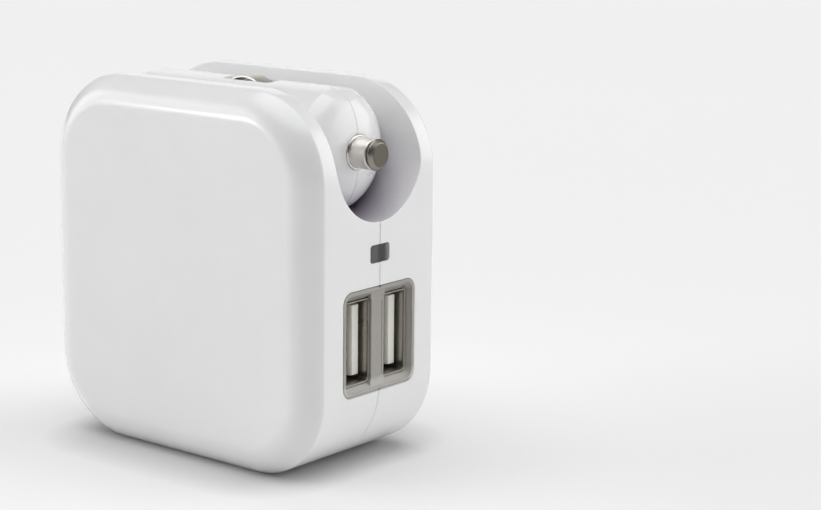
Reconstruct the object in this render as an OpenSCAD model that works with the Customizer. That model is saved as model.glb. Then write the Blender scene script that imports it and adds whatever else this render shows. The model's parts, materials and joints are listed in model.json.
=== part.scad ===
// Folding charger for wall sockets and car sockets, with two USB ports.
// X runs from the hinge end (-) to the port face (+), Y from the front (-) to the wall side (+), Z is up.
// The origin is the centre of the underside.

/* [Body] */
// Width of the body along X
body_w = 57; // [56.5:0.5:58]
// Height of the body along Z
body_h = 60; // [59.5:0.5:61]
// Depth of the body over its two flat faces, along Y
body_t = 32.6; // [32.4:0.2:33.6]
// Depth of the straight band round the sides
band_t = 25.8; // [25.6:0.2:26.4]
// How far the bevel leans in round each flat face
bevel_in = 5; // [4.6:0.1:5.4]
// Radius of the outline's corners
corner_r = 14; // [13:0.5:15]
// Wall of the two shells
wall = 1.8; // [1.6:0.1:1.9]

/* [Car plug] */
// Height of the plug's axis over the underside
plug_z = 49.8; // [49.6:0.1:50]
// Radius of the plug's barrel
barrel_r = 9.7; // [9.5:0.1:9.8]
// Gap between the barrel and its channel
channel_gap = 0.5; // [0.4:0.1:0.6]
// X of the cross pivot at the hinge end
pivot_x = -18.3; // [-18.4:0.1:-18]
// Radius of the centre pin
pin_r = 2.45; // [2.3:0.05:2.5]
// How far the centre pin stands out of the nose
pin_out = 4.5; // [4:0.1:4.6]
// How far each ground contact stands out of the barrel
contact_out = 0.5; // [0.4:0.1:0.7]

/* [USB ports] */
// Height of the middle of both ports
port_z = 21.3; // [21:0.1:22]
// Distance between the two ports along Y
port_pitch = 8.9; // [8.7:0.1:9.1]
// Opening of a port along Z
port_w = 12.5; // [12.4:0.1:12.6]
// Opening of a port along Y
port_t = 5.12; // [5.1:0.01:5.15]
// Height of the status window's middle
led_z = 34.7; // [34.2:0.1:35]

/* [Mains blades] */
// Height of the blades' cross pivot
blade_z = 30; // [29.5:0.5:30.5]
// Distance between the two blades
blade_pitch = 12.7; // [12.7:0.1:12.8]
// Width of a blade
blade_w = 6.35; // [6.3:0.05:6.4]
// Thickness of a blade
blade_t = 1.5; // [1.4:0.1:1.6]
// Length of a blade from its pivot to its tip
blade_l = 20; // [19:0.5:20]

/* [Hidden] */

$fn = 64;
half_facet = 180 / $fn;
hull_fn = 40;

half_w = body_w / 2;
half_t = body_t / 2;
bevel_t = (body_t - band_t) / 2;
// The bevel's section: share of the way in, share of the way out along Y
BEVEL = [[0, 0], [0.2, 0.38], [0.43, 0.72], [0.7, 0.93], [1, 1]];

channel_r = barrel_r + channel_gap;
liner = 1.6;
liner_r = channel_r + liner;

barrel_wall = 1.9;
barrel_in_r = barrel_r - barrel_wall;
nose_x = half_w - pin_out;
nose_back_x = nose_x - 4.4;
cone_x = nose_x - 4.2;
// Depth of the small flat at the ends of the hub's domes
end_flat = 0.1;
running_gap = 0.05;
trunnion_r = 3;
trunnion_end = channel_r + 1.4;
boss_end = channel_r + 2;
boss_r = 5;
lead_r = 0.6;
pin_flange_r = 3.8;
pin_flange_t = 1.5;
pin_back_x = nose_back_x - pin_flange_t - 0.2;
shank_r = pin_r - 0.15;
collar_r = pin_r + 0.3;
collar_x = nose_x - 2.4;
collar_out = 0.3;
washer_r = 4.2;

fuse_r = 2.5;
fuse_l = 20;
fuse_x = -12.5;
fuse_end_x = fuse_x + fuse_l;

contact_x = 1.7;
contact_half = 3.6;
contact_w = 3.2;
strip_t = 0.4;
slot_w = 3.8;
slot_x0 = contact_x - contact_half - 0.7;
slot_x1 = 7.6;

shell_t = 0.3;
port_recess = 0.8;
port_x = half_w - port_recess;
port_l = 14;
port_front_y = -port_pitch / 2;
port_rear_y = port_pitch / 2;
tongue_shift = 1;
tongue_t = 1.84;
tongue_w = 11.1;
tongue_x = port_x - 1.4;

bezel_z = 16.5;
bezel_y = 17.25;
bezel_r = 1.8;
bezel_l = 3.4;
led_w = 4.4;
led_h = 2.63;
led_r = 1.1;
led_x = half_w - 3.6;

blade_y = half_t - blade_w / 2 - 0.3;
carrier_r = 3.35;
carrier_l = 22;
bay_r = carrier_r + 0.3;
journal_r = 2;
journal_l = 1.6;
slot_t = blade_t + 0.9;
slot_depth = blade_w + 0.6;

board_t = 1.6;
board_y = -7.35;
board_x0 = -25;
board_x1 = 25;
board_z0 = 4;
board_z1 = 36.5;
transformer_x = 3;
transformer_z = 13;
core_w = 14;
core_d = 7;
core_leg = 3.6;
core_window = 3.4;
lead_turn = 1.2;
lead_y = boss_end + 0.2 + lead_turn;
lead_low = 33;
ground_ring_x = -6.5;
ground_ring_r = 5.9;
ground_lead_y = ground_ring_r - 0.5 - lead_r;

// ---- shared shapes ----

// A rounded rectangle, centred
module rounded(w, h, r) {
    square([w, h - 2 * r], center = true);
    square([w - 2 * r, h], center = true);
    for (x = [-1, 1])
        for (y = [-1, 1])
            translate([x * (w / 2 - r), y * (h / 2 - r)])
                circle(r);
}

// Stands an XZ outline up and gives it a thickness along Y, centred on Y = 0
module upright(t) {
    rotate([90, 0, 0])
        linear_extrude(t, center = true)
            children();
}

// Turns a YZ outline to face +X and gives it a length, ending at X = 0
module facing_x(l) {
    rotate([90, 0, 90])
        translate([0, 0, -l])
            linear_extrude(l)
                children();
}

module body_form(inset) {
    translate([0, 0, body_h / 2])
        hull()
            for (b = BEVEL)
                upright(band_t + 2 * bevel_t * b[1] - 2 * inset)
                    rounded(body_w - 2 * inset - 2 * bevel_in * b[0],
                            body_h - 2 * inset - 2 * bevel_in * b[0],
                            corner_r - inset - bevel_in * b[0], $fn = hull_fn);
}

module channel(r, l = body_w + 2) {
    translate([0, 0, plug_z]) {
        rotate([0, 90, 0])
            cylinder(r = r, h = l, center = true);
        translate([-l / 2, -r, 0])
            cube([l, 2 * r, body_h - plug_z + 1]);
    }
}

module x_rod(r, x0, x1) {
    translate([x0, 0, 0])
        rotate([0, 90, 0])
            cylinder(r = r, h = x1 - x0);
}

module y_rod(r, y0, y1) {
    translate([0, y1, 0])
        rotate([90, 0, 0])
            cylinder(r = r, h = y1 - y0);
}

module half_space(side) {
    translate([-100, side < 0 ? -100 : 0, -100])
        cube([200, 100, 200]);
}

// ---- body ----

module port_face_cuts() {
    translate([half_w + 1, 0, port_z])
        facing_x(5)
            rounded(bezel_y + 0.1, bezel_z + 0.1, bezel_r);
    translate([half_w + 1, 0, led_z])
        facing_x(5)
            rounded(led_w + 0.1, led_h + 0.1, 0.4);
}

module pivot_bosses() {
    translate([pivot_x, 0, plug_z])
        for (side = [-1, 1])
            scale([1, side, 1])
                y_rod(boss_r, channel_r, boss_end);
}

// Each pivot's bore, with a flat spot face round it for the washer
module pivot_bores() {
    translate([pivot_x, 0, plug_z])
        for (side = [-1, 1])
            scale([1, side, 1]) {
                y_rod(trunnion_r + running_gap, channel_r - 0.5, boss_end + 0.3);
                y_rod(washer_r + 0.2, channel_r - 2, channel_r);
            }
}

// Room for the lower ground contact in the channel's floor
module contact_relief() {
    translate([slot_x0 - 1, -slot_w / 2, plug_z - channel_r - 0.8])
        cube([slot_x1 - slot_x0 + 3, slot_w, 4]);
}

module casing() {
    difference() {
        union() {
            difference() {
                body_form(0);
                body_form(wall);
            }
            intersection() {
                body_form(0.5);
                channel(liner_r);
            }
            pivot_bosses();
        }
        channel(channel_r);
        contact_relief();
        pivot_bores();
        port_face_cuts();
    }
}

module blade_slots(grow) {
    for (side = [-1, 1])
        translate([side * blade_pitch / 2 - slot_t / 2 - grow,
                   half_t - slot_depth - grow,
                   blade_z - blade_l - 0.6 - grow])
            cube([slot_t + 2 * grow, slot_depth + 2 * grow, blade_l + 0.6 + grow]);
}

// The round bay that the blades' carrier turns in, open to the wall side
module carrier_bay(grow) {
    translate([0, blade_y, blade_z]) {
        x_rod(bay_r + grow, -carrier_l / 2 - 0.3 - grow, carrier_l / 2 + 0.3 + grow);
        translate([-carrier_l / 2 - 0.3 - grow, 0, -bay_r - grow])
            cube([carrier_l + 0.6 + 2 * grow, 10, 2 * (bay_r + grow)]);
    }
}

// Scoop between the blades' tips for a finger
module finger_scoop(grow) {
    translate([0, half_t + 3.6, blade_z - 14])
        x_rod(6 + grow, -blade_pitch / 2 + slot_t / 2 + 0.5 - grow,
              blade_pitch / 2 - slot_t / 2 - 0.5 + grow);
}

module wiper_windows() {
    for (side = [-1, 1])
        translate([side * blade_pitch / 2 - 1.6, blade_y - bay_r - 2, blade_z - 1.5])
            cube([3.2, 4, 3]);
}

// Posts in the front shell that the board rests on
module board_posts() {
    for (x = [-20, 18])
        for (z = [10, 31])
            translate([x, 0, z])
                y_rod(1.6, wall - half_t - 0.4, board_y - board_t);
}

module front_shell() {
    color("white") {
        intersection() {
            casing();
            half_space(-1);
        }
        board_posts();
    }
}

module rear_shell() {
    color("white")
        difference() {
            union() {
                intersection() {
                    casing();
                    half_space(1);
                }
                intersection() {
                    body_form(0);
                    union() {
                        blade_slots(1.2);
                        carrier_bay(1.2);
                        finger_scoop(1.2);
                        translate([0, blade_y, blade_z])
                            x_rod(journal_r + 1.4, -carrier_l / 2 - 2.4, carrier_l / 2 + 2.4);
                    }
                }
            }
            blade_slots(0);
            carrier_bay(0);
            finger_scoop(0);
            wiper_windows();
            translate([0, blade_y, blade_z])
                x_rod(journal_r + running_gap, -carrier_l / 2 - 2, carrier_l / 2 + 2);
        }
}

// ---- USB ports and status light ----

module usb_bezel() {
    color([0.35, 0.36, 0.38, 0.7])
        translate([0, 0, port_z])
            difference() {
                translate([half_w, 0, 0])
                    facing_x(bezel_l)
                        rounded(bezel_y, bezel_z, bezel_r);
                for (y = [port_front_y, port_rear_y])
                    translate([half_w + 1, y, 0])
                        facing_x(bezel_l + 2)
                            rounded(port_t + 2 * shell_t + 0.2, port_w + 2 * shell_t + 0.2, 0.5);
            }
}

module led_window() {
    color([0.25, 0.25, 0.27, 0.8])
        translate([half_w, 0, led_z])
            facing_x(2.2)
                rounded(led_w, led_h, 0.4);
}

module status_led() {
    color([0.9, 0.9, 0.95])
        translate([led_x, 0, led_z]) {
            x_rod(led_r, -2.6, 0);
            sphere(led_r);
            x_rod(led_r + 0.2, -3, -2.4);
            for (side = [-1, 1])
                translate([-4.8, 0, side * 0.6]) {
                    x_rod(0.2, 0, 2);
                    y_rod(0.2, board_y, 0.2);
                }
        }
}

module usb_shell(y) {
    color("silver")
        translate([port_x, y, port_z])
            difference() {
                facing_x(port_l)
                    rounded(port_t + 2 * shell_t, port_w + 2 * shell_t, 0.4);
                translate([1, 0, 0])
                    facing_x(port_l + 0.4)
                        square([port_t, port_w], center = true);
            }
}

module usb_tongue(y) {
    color("ivory")
        translate([0, y, port_z]) {
            translate([tongue_x, tongue_shift, 0])
                facing_x(10.6)
                    square([tongue_t, tongue_w], center = true);
            translate([tongue_x - 10.4, 0, 0])
                facing_x(1.2)
                    square([port_t, port_w], center = true);
        }
}

module usb_contacts(y) {
    color("gold")
        translate([tongue_x - 0.9, y + tongue_shift - tongue_t / 2 - 0.1, port_z])
            for (z = [-3.5, -1, 1, 3.5])
                translate([0, 0, z])
                    facing_x(8.6)
                        square([0.2, 1], center = true);
}

module usb_shell_front() {
    usb_shell(port_front_y);
}

module usb_shell_rear() {
    usb_shell(port_rear_y);
}

module usb_tongue_front() {
    usb_tongue(port_front_y);
}

module usb_tongue_rear() {
    usb_tongue(port_rear_y);
}

module usb_contacts_front() {
    usb_contacts(port_front_y);
}

module usb_contacts_rear() {
    usb_contacts(port_rear_y);
}

// ---- electronics on the board, whose parts stand towards +Y ----

module on_board(x, z) {
    translate([x, board_y, z])
        children();
}

module standing_can(r, h) {
    y_rod(r, 0, h);
}

module main_board() {
    color("seagreen")
        translate([0, board_y - board_t / 2, (board_z0 + board_z1) / 2])
            upright(board_t)
                rounded(board_x1 - board_x0, board_z1 - board_z0, 8);
}

// A box on the board, centred on X and Z, between two heights over the board
module block(w, y0, y1, d) {
    translate([-w / 2, y0, -d / 2])
        cube([w, y1 - y0, d]);
}

module transformer_core() {
    color("dimgray")
        on_board(transformer_x, transformer_z)
            difference() {
                block(core_w, 1, 13, core_d);
                for (side = [-1, 1])
                    translate([side * (core_leg + core_window) / 2, 0, 0])
                        block(core_window, 3, 11, core_d + 1);
            }
}

module transformer_bobbin() {
    color("black")
        on_board(transformer_x, transformer_z)
            difference() {
                union() {
                    block(core_leg + 1, 3.1, 10.9, core_d + 1);
                    for (y = [3.1, 10.1])
                        block(core_leg + 2 * core_window - 0.2, y, y + 0.8, core_d + 6.2);
                }
                block(core_leg, 3, 11, core_d);
            }
}

module transformer_winding() {
    color("goldenrod")
        on_board(transformer_x, transformer_z)
            difference() {
                block(core_leg + 2 * core_window - 0.6, 3.9, 10.1, core_d + 5.8);
                block(core_leg + 1, 3, 11, core_d + 1);
            }
}

module input_capacitors() {
    color("darkslategray")
        for (z = [10, 20.5])
            on_board(-14, z)
                standing_can(4, 13);
}

module output_capacitors() {
    color("darkslategray")
        for (x = [13.8, 21])
            on_board(x, 8.4)
                standing_can(3.15, 11.5);
}

module bridge_rectifier() {
    color("black")
        on_board(-13.5, 29.5)
            translate([-3.2, 0, -2.5])
                cube([6.4, 2.6, 5]);
}

module fusible_resistor() {
    color("tan")
        on_board(-22, 19)
            translate([0, 1.7, -5])
                cylinder(r = 1.6, h = 10);
}

module input_choke() {
    color("black")
        on_board(-21.5, 9)
            standing_can(3.2, 8);
}

module safety_capacitor() {
    color("royalblue")
        on_board(-4, 24.5)
            translate([0, 5, 0]) {
                x_rod(4, -1.5, 1.5);
                for (z = [-2.5, 2.5])
                    translate([0, 0, z])
                        y_rod(0.3, -5, -2);
            }
}

module buck_inductor() {
    color("dimgray")
        on_board(14.5, 32.4)
            translate([-3.5, 0, -3.5])
                cube([7, 3.6, 7]);
}

module controller_chips() {
    color("black")
        for (p = [[-3, 14], [8, 26]])
            translate([p[0] - 2.5, board_y - board_t - 1.6, p[1] - 2])
                cube([5, 1.6, 4]);
}

// A quarter turn of lead that leaves the pivot along Y and ends pointing down
module lead_elbow() {
    rotate([90, 0, 90])
        rotate_extrude(angle = 90)
            translate([lead_turn, 0])
                circle(lead_r, $fn = 24);
}

module body_lead(side, reach) {
    scale([1, side, 1])
        translate([pivot_x, 0, 0]) {
            translate([0, lead_y - lead_turn, plug_z - lead_turn])
                lead_elbow();
            translate([0, lead_y, lead_low])
                cylinder(r = lead_r, h = plug_z - lead_turn - lead_low, $fn = 24);
            translate([0, 0, lead_low])
                y_rod(lead_r, reach, lead_y);
            translate([0, lead_y, lead_low])
                sphere(lead_r);
        }
}

module body_leads() {
    color("firebrick")
        body_lead(-1, -board_y + board_t);
    color("black")
        body_lead(1, board_y);
}

// Springs that feed the board from the tails of the deployed blades
module blade_wipers() {
    color("goldenrod")
        for (side = [-1, 1])
            translate([side * blade_pitch / 2, 0, blade_z + 1.2]) {
                translate([-1, board_y, -0.25])
                    cube([2, blade_y - carrier_r - 0.2 - board_y, 0.5]);
                translate([-1, blade_y - carrier_r - 0.6, -2.2])
                    cube([2, 0.4, 2.2]);
            }
}

// ---- car plug ----

// Outline of the plug from its pivot, with X along the plug and Y as its radius
module plug_profile() {
    intersection() {
        union() {
            circle(barrel_r);
            polygon([
                [0, 0], [0, barrel_r], [cone_x - pivot_x, barrel_r],
                [cone_x - pivot_x + 1.7, barrel_r - 1], [cone_x - pivot_x + 3, barrel_r - 2.7],
                [cone_x - pivot_x + 3.8, 4.8], [nose_x - pivot_x, 2.9], [nose_x - pivot_x, 0]
            ]);
        }
        translate([end_flat - barrel_r, 0])
            square([body_w, barrel_r]);
    }
}

module hollow_profile() {
    intersection() {
        union() {
            circle(barrel_in_r);
            square([nose_back_x - 3 - pivot_x, barrel_in_r]);
            square([nose_back_x - pivot_x, 6]);
        }
        translate([end_flat - barrel_in_r, 0])
            square([body_w, barrel_r]);
    }
}

// Revolves such an outline about the plug's axis, turned to keep its facets' edges off the split
module plug_revolve() {
    translate([pivot_x, 0, plug_z])
        rotate([0, 90, 0])
            rotate([0, 0, half_facet])
                rotate_extrude()
                    mirror([1, -1, 0])
                        children();
}

module contact_slots() {
    for (side = [-1, 1])
        translate([slot_x0, -slot_w / 2, plug_z + (side > 0 ? 7 : -11)])
            cube([slot_x1 - slot_x0, slot_w, 4]);
}

// Ribs that hold the fuse on the plug's axis
module fuse_ribs() {
    translate([0, 0, plug_z])
        for (x = [fuse_x + 1.5, fuse_end_x - 3])
            difference() {
                x_rod(barrel_in_r + 0.3, x, x + 1.5);
                x_rod(fuse_r + 0.35, x - 1, x + 3);
                translate([0, ground_lead_y, 0])
                    x_rod(lead_r + 0.2, x - 1, x + 3);
            }
}

module plug_case() {
    intersection() {
        difference() {
            union() {
                difference() {
                    plug_revolve()
                        plug_profile();
                    plug_revolve()
                        hollow_profile();
                    contact_slots();
                }
                fuse_ribs();
                translate([pivot_x, 0, plug_z])
                    for (side = [-1, 1])
                        scale([1, side, 1])
                            y_rod(trunnion_r, barrel_in_r - 0.6, trunnion_end);
            }
            translate([pivot_x, 0, plug_z])
                y_rod(lead_r + 0.4, -20, 20);
            translate([0, 0, plug_z]) {
                x_rod(shank_r + running_gap, nose_back_x - 1, nose_x + 1);
                x_rod(collar_r, collar_x, nose_x + 1);
            }
            for (side = [-1, 1])
                translate([fuse_end_x - 6, -contact_w / 2 - 0.3, plug_z + side * 6.3 - 2.7])
                    cube([4.6, contact_w + 0.6, 5.4]);
        }
        translate([0, 0, body_h / 2])
            upright(body_t)
                rounded(body_w, body_h, corner_r);
    }
}

module plug_front_half() {
    color("white")
        intersection() {
            plug_case();
            half_space(-1);
        }
}

module plug_rear_half() {
    color("white")
        intersection() {
            plug_case();
            half_space(1);
        }
}

// Metal ring pressed into the nose, which guides the centre pin
module nose_collar() {
    color("silver")
        translate([0, 0, plug_z])
            difference() {
                union() {
                    x_rod(collar_r, collar_x, nose_x + collar_out - 0.4);
                    translate([nose_x + collar_out - 0.4, 0, 0])
                        rotate([0, 90, 0])
                            cylinder(r1 = collar_r, r2 = collar_r - 0.2, h = 0.4);
                }
                x_rod(shank_r + running_gap, collar_x - 1, nose_x + collar_out + 1);
            }
}

module centre_pin() {
    color("silver")
        translate([0, 0, plug_z]) {
            x_rod(pin_flange_r, pin_back_x, pin_back_x + pin_flange_t);
            x_rod(shank_r, pin_back_x, half_w - 2);
            x_rod(pin_r - 0.35, half_w - 2.1, half_w - 1);
            x_rod(pin_r, half_w - 1.1, half_w - 0.5);
            translate([half_w - 0.5, 0, 0])
                rotate([0, 90, 0])
                    cylinder(r1 = pin_r, r2 = pin_r - 0.5, h = 0.5);
        }
}

spring_r = 2.6;
spring_wire = 0.35;
spring_turns = 6;
spring_x0 = fuse_end_x + 0.45;
spring_x1 = pin_back_x - 0.45;
spring_steps = 16;
spring_sides = 8;

function spring_point(i, j) =
    let (a = 360 * i / spring_steps,
         b = 360 * j / spring_sides,
         r = spring_r + spring_wire * cos(b),
         x = spring_x0 + (spring_x1 - spring_x0) * i / (spring_steps * spring_turns))
    [x + spring_wire * sin(b), r * cos(a), r * sin(a)];

module tip_spring() {
    rings = spring_steps * spring_turns;
    points = [for (i = [0 : rings]) for (j = [0 : spring_sides - 1]) spring_point(i, j)];
    sides = [for (i = [0 : rings - 1]) for (j = [0 : spring_sides - 1])
        let (k = (j + 1) % spring_sides, a = i * spring_sides, b = (i + 1) * spring_sides)
        [a + j, b + j, b + k, a + k]];
    first = [for (j = [0 : spring_sides - 1]) j];
    last = [for (j = [spring_sides - 1 : -1 : 0]) rings * spring_sides + j];
    color("silver")
        translate([0, 0, plug_z])
            polyhedron(points, concat(sides, [first, last]));
}

module fuse_glass() {
    color([0.85, 0.95, 0.9, 0.5])
        translate([0, 0, plug_z])
            difference() {
                x_rod(fuse_r - 0.15, fuse_x + 0.3, fuse_end_x - 0.3);
                x_rod(fuse_r - 0.7, fuse_x, fuse_end_x);
            }
}

module fuse_caps() {
    color("silver")
        translate([0, 0, plug_z])
            for (x = [fuse_x, fuse_end_x - 5])
                difference() {
                    x_rod(fuse_r, x, x + 5);
                    x_rod(fuse_r - 0.15, x == fuse_x ? x + 0.3 : x - 1, x == fuse_x ? x + 6 : x + 4.7);
                }
}

module fuse_terminal() {
    color("goldenrod")
        translate([0, 0, plug_z]) {
            x_rod(fuse_r, fuse_x - 0.6, fuse_x);
            x_rod(0.8, fuse_x - 2, fuse_x - 0.6);
        }
}

// A lead from a pivot's mouth to the plug's middle, then along the plug to x1
module plug_lead(side, y, x1) {
    translate([pivot_x, side * y, plug_z])
        sphere(lead_r);
    translate([pivot_x, 0, plug_z])
        scale([1, side, 1])
            y_rod(lead_r, y, boss_end);
    translate([0, side * y, plug_z])
        x_rod(lead_r, pivot_x, x1);
}

// One lead runs from the fuse to the front pivot, one from the ground ring to the rear pivot
module plug_leads() {
    color("firebrick")
        plug_lead(-1, 0, fuse_x - 2);
    color("black")
        plug_lead(1, ground_lead_y, ground_ring_x + 2);
}

// Ring that joins the two ground contacts' feet to their lead
module ground_ring() {
    color("goldenrod")
        translate([0, 0, plug_z])
            difference() {
                x_rod(ground_ring_r, ground_ring_x, ground_ring_x + 2);
                x_rod(ground_ring_r - 0.5, ground_ring_x - 1, ground_ring_x + 3);
            }
}

module pivot_washers() {
    color("silver")
        translate([pivot_x, 0, plug_z])
            for (side = [-1, 1])
                scale([1, side, 1])
                    difference() {
                        y_rod(washer_r, channel_r - 0.35, channel_r - 0.1);
                        y_rod(trunnion_r, 0, channel_r + 1);
                    }
}

// A bowed strip that stands out of its slot, with a foot at each end under the barrel's wall
module ground_contact() {
    bow_rise = 1.4;
    bow_r = (contact_half * contact_half + bow_rise * bow_rise) / (2 * bow_rise);
    top = barrel_r + contact_out;
    foot_z = barrel_in_r - 0.8;
    foot_l = 4;
    upright(contact_w)
        translate([contact_x, 0]) {
            intersection() {
                difference() {
                    translate([0, top - bow_r])
                        circle(bow_r);
                    translate([0, top - bow_r])
                        circle(bow_r - strip_t);
                }
                translate([-contact_half, top - bow_rise])
                    square([2 * contact_half, bow_rise + 1]);
            }
            for (side = [-1, 1])
                scale([side, 1]) {
                    translate([contact_half - strip_t, foot_z])
                        square([strip_t, top - bow_rise - foot_z + 0.2]);
                    translate([contact_half - strip_t, foot_z])
                        square([foot_l, strip_t]);
                }
        }
}

module ground_contact_upper() {
    color("silver")
        translate([0, 0, plug_z])
            ground_contact();
}

module ground_contact_lower() {
    color("silver")
        translate([0, 0, plug_z])
            mirror([0, 0, 1])
                ground_contact();
}

// ---- mains blades ----

module blade_carrier() {
    color("white")
        translate([0, blade_y, blade_z])
            difference() {
                union() {
                    x_rod(carrier_r, -carrier_l / 2, carrier_l / 2);
                    x_rod(journal_r, -carrier_l / 2 - journal_l, carrier_l / 2 + journal_l);
                }
                for (side = [-1, 1])
                    translate([side * blade_pitch / 2, 0, 0])
                        cube([blade_t, blade_w, 3 * carrier_r], center = true);
            }
}

module blade(side) {
    color("silver")
        translate([side * blade_pitch / 2, blade_y, blade_z])
            rotate([90, 0, 90])
                linear_extrude(blade_t, center = true)
                    difference() {
                        polygon([
                            [-blade_w / 2, 1.4], [blade_w / 2, 1.4], [blade_w / 2, -blade_l + 1.8],
                            [blade_w / 2 - 1.3, -blade_l], [-blade_w / 2 + 1.3, -blade_l],
                            [-blade_w / 2, -blade_l + 1.8]
                        ]);
                        translate([0, -blade_l + 4.2])
                            circle(1.6);
                    }
}

module blade_left() {
    blade(-1);
}

module blade_right() {
    blade(1);
}

front_shell();
rear_shell();
usb_bezel();
led_window();
status_led();
usb_shell_front();
usb_shell_rear();
usb_tongue_front();
usb_tongue_rear();
usb_contacts_front();
usb_contacts_rear();
main_board();
transformer_core();
transformer_bobbin();
transformer_winding();
input_capacitors();
output_capacitors();
bridge_rectifier();
fusible_resistor();
input_choke();
safety_capacitor();
buck_inductor();
controller_chips();
body_leads();
blade_wipers();
plug_front_half();
plug_rear_half();
nose_collar();
centre_pin();
tip_spring();
fuse_glass();
fuse_caps();
fuse_terminal();
ground_ring();
plug_leads();
pivot_washers();
ground_contact_upper();
ground_contact_lower();
blade_carrier();
blade_left();
blade_right();
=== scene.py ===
"""Looks of the folding USB charger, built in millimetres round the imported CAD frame."""
import json
import math

import bmesh
import bpy
from mathutils import Matrix, Vector


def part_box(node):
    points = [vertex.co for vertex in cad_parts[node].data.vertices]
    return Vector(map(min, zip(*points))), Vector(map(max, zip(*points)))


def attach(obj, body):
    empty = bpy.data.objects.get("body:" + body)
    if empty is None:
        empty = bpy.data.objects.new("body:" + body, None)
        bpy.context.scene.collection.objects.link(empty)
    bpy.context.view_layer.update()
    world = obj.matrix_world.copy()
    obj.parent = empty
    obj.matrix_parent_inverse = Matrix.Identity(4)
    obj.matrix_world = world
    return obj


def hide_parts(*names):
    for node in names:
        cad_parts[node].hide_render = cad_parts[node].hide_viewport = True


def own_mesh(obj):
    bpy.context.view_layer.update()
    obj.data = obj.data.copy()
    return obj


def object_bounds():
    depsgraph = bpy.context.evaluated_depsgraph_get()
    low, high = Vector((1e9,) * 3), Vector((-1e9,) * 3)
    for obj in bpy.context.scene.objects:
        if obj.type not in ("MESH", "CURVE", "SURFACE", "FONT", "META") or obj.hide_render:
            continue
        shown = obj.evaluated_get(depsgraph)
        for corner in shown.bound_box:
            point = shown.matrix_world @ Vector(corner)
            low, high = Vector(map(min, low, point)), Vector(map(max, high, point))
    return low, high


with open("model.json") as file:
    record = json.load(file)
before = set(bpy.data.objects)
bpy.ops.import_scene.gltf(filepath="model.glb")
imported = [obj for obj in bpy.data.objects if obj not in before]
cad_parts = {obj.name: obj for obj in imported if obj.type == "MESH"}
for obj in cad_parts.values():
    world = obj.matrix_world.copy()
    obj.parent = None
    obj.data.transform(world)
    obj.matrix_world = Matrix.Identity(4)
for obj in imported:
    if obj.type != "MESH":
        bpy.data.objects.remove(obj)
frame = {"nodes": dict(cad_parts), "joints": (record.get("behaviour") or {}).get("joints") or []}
cad_low, cad_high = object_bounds()
nodes = frame["nodes"]
joints = {j["name"]: j for j in frame["joints"]}
scene = bpy.context.scene

MM = 0.001


def box(node):
    """Lowest corner, highest corner and middle of a CAD node, in millimetres."""
    low, high = (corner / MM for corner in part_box(node))
    return low, high, (low + high) / 2


def pivot(joint):
    return Vector(joints[joint]["pos_m"]) / MM


# ---------------------------------------------------------------- body sizes
front_low, front_high, _ = box("front_shell")
# Sizes that the frame doesn't give are those of the CAD model. BAND is half the depth of the
# straight band round the sides, and BEVEL_IN is how far the bevel leans in.
HALF_W = front_high.x
HALF_T = -front_low.y
HEIGHT = front_high.z
MID_Z = HEIGHT / 2
BAND = 12.9
BEVEL_IN = 5.0
CORNER_R = 14.0
CORNER_STEPS = 24
WALL = 1.8

# The car plug's barrel and trunnions, and the channel, its liner and the bosses that hold them
hinge = pivot("car_plug_swing")
PLUG_Z = hinge.z
BARREL_R = 9.7
CHANNEL_R = 10.2
LINER_R = 11.8
TRUNNION_R = 3.0
BOSS_R = 5.0
BOSS_END = 12.2
SPOT_FACE_R = 4.4


# ---------------------------------------------------------------- mesh tools
def new_object(name, bm):
    """An object in the scene, from a bmesh that is welded, turned outwards and used up."""
    bmesh.ops.remove_doubles(bm, verts=bm.verts, dist=1e-5)
    bmesh.ops.recalc_face_normals(bm, faces=bm.faces)
    mesh = bpy.data.meshes.new(name)
    bm.to_mesh(mesh)
    bm.free()
    obj = bpy.data.objects.new(name, mesh)
    scene.collection.objects.link(obj)
    return obj


def arc(cx, cy, r, a0, a1, n):
    """Points on an arc, both ends included, angles in degrees."""
    angles = [math.radians(a0 + (a1 - a0) * i / n) for i in range(n + 1)]
    return [(cx + r * math.cos(a), cy + r * math.sin(a)) for a in angles]


def outline(w, h, r, n=8):
    """Rounded rectangle about the origin, anticlockwise."""
    pts = []
    for k, (sx, sy) in enumerate(((1, 1), (-1, 1), (-1, -1), (1, -1))):
        pts += arc(sx * (w / 2 - r), sy * (h / 2 - r), r, 90 * k, 90 * k + 90, n)
    return pts


def circle(r, n=64):
    return arc(0, 0, r, 0, 360, n)[:-1]


AXES = {
    "x": lambda t, u, v: (t, u, v),
    "y": lambda t, u, v: (u, t, v),
    "z": lambda t, u, v: (u, v, t),
}


def loft(name, rings, capped=True):
    """Skins equal rings of points. Uncapped, the last ring joins the first."""
    bm = bmesh.new()
    rows = [[bm.verts.new(p) for p in ring] for ring in rings]
    count = len(rows[0])
    pairs = list(zip(rows, rows[1:]))
    if not capped:
        pairs.append((rows[-1], rows[0]))
    for a, b in pairs:
        for i in range(count):
            j = (i + 1) % count
            bm.faces.new((a[i], a[j], b[j], b[i]))
    if capped:
        bm.faces.new(rows[0])
        bm.faces.new(rows[-1])
    return new_object(name, bm)


def prism(pts, axis, t0, t1, at=(0, 0)):
    """Extrudes an outline along an axis, with its origin moved to `at`."""
    place = AXES[axis]
    rings = [[place(t, u + at[0], v + at[1]) for u, v in pts] for t in (t0, t1)]
    return loft("tool", rings)


def cuboid(x0, x1, y0, y1, z0, z1):
    return prism([(x0, y0), (x1, y0), (x1, y1), (x0, y1)], "z", z0, z1)


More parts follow.
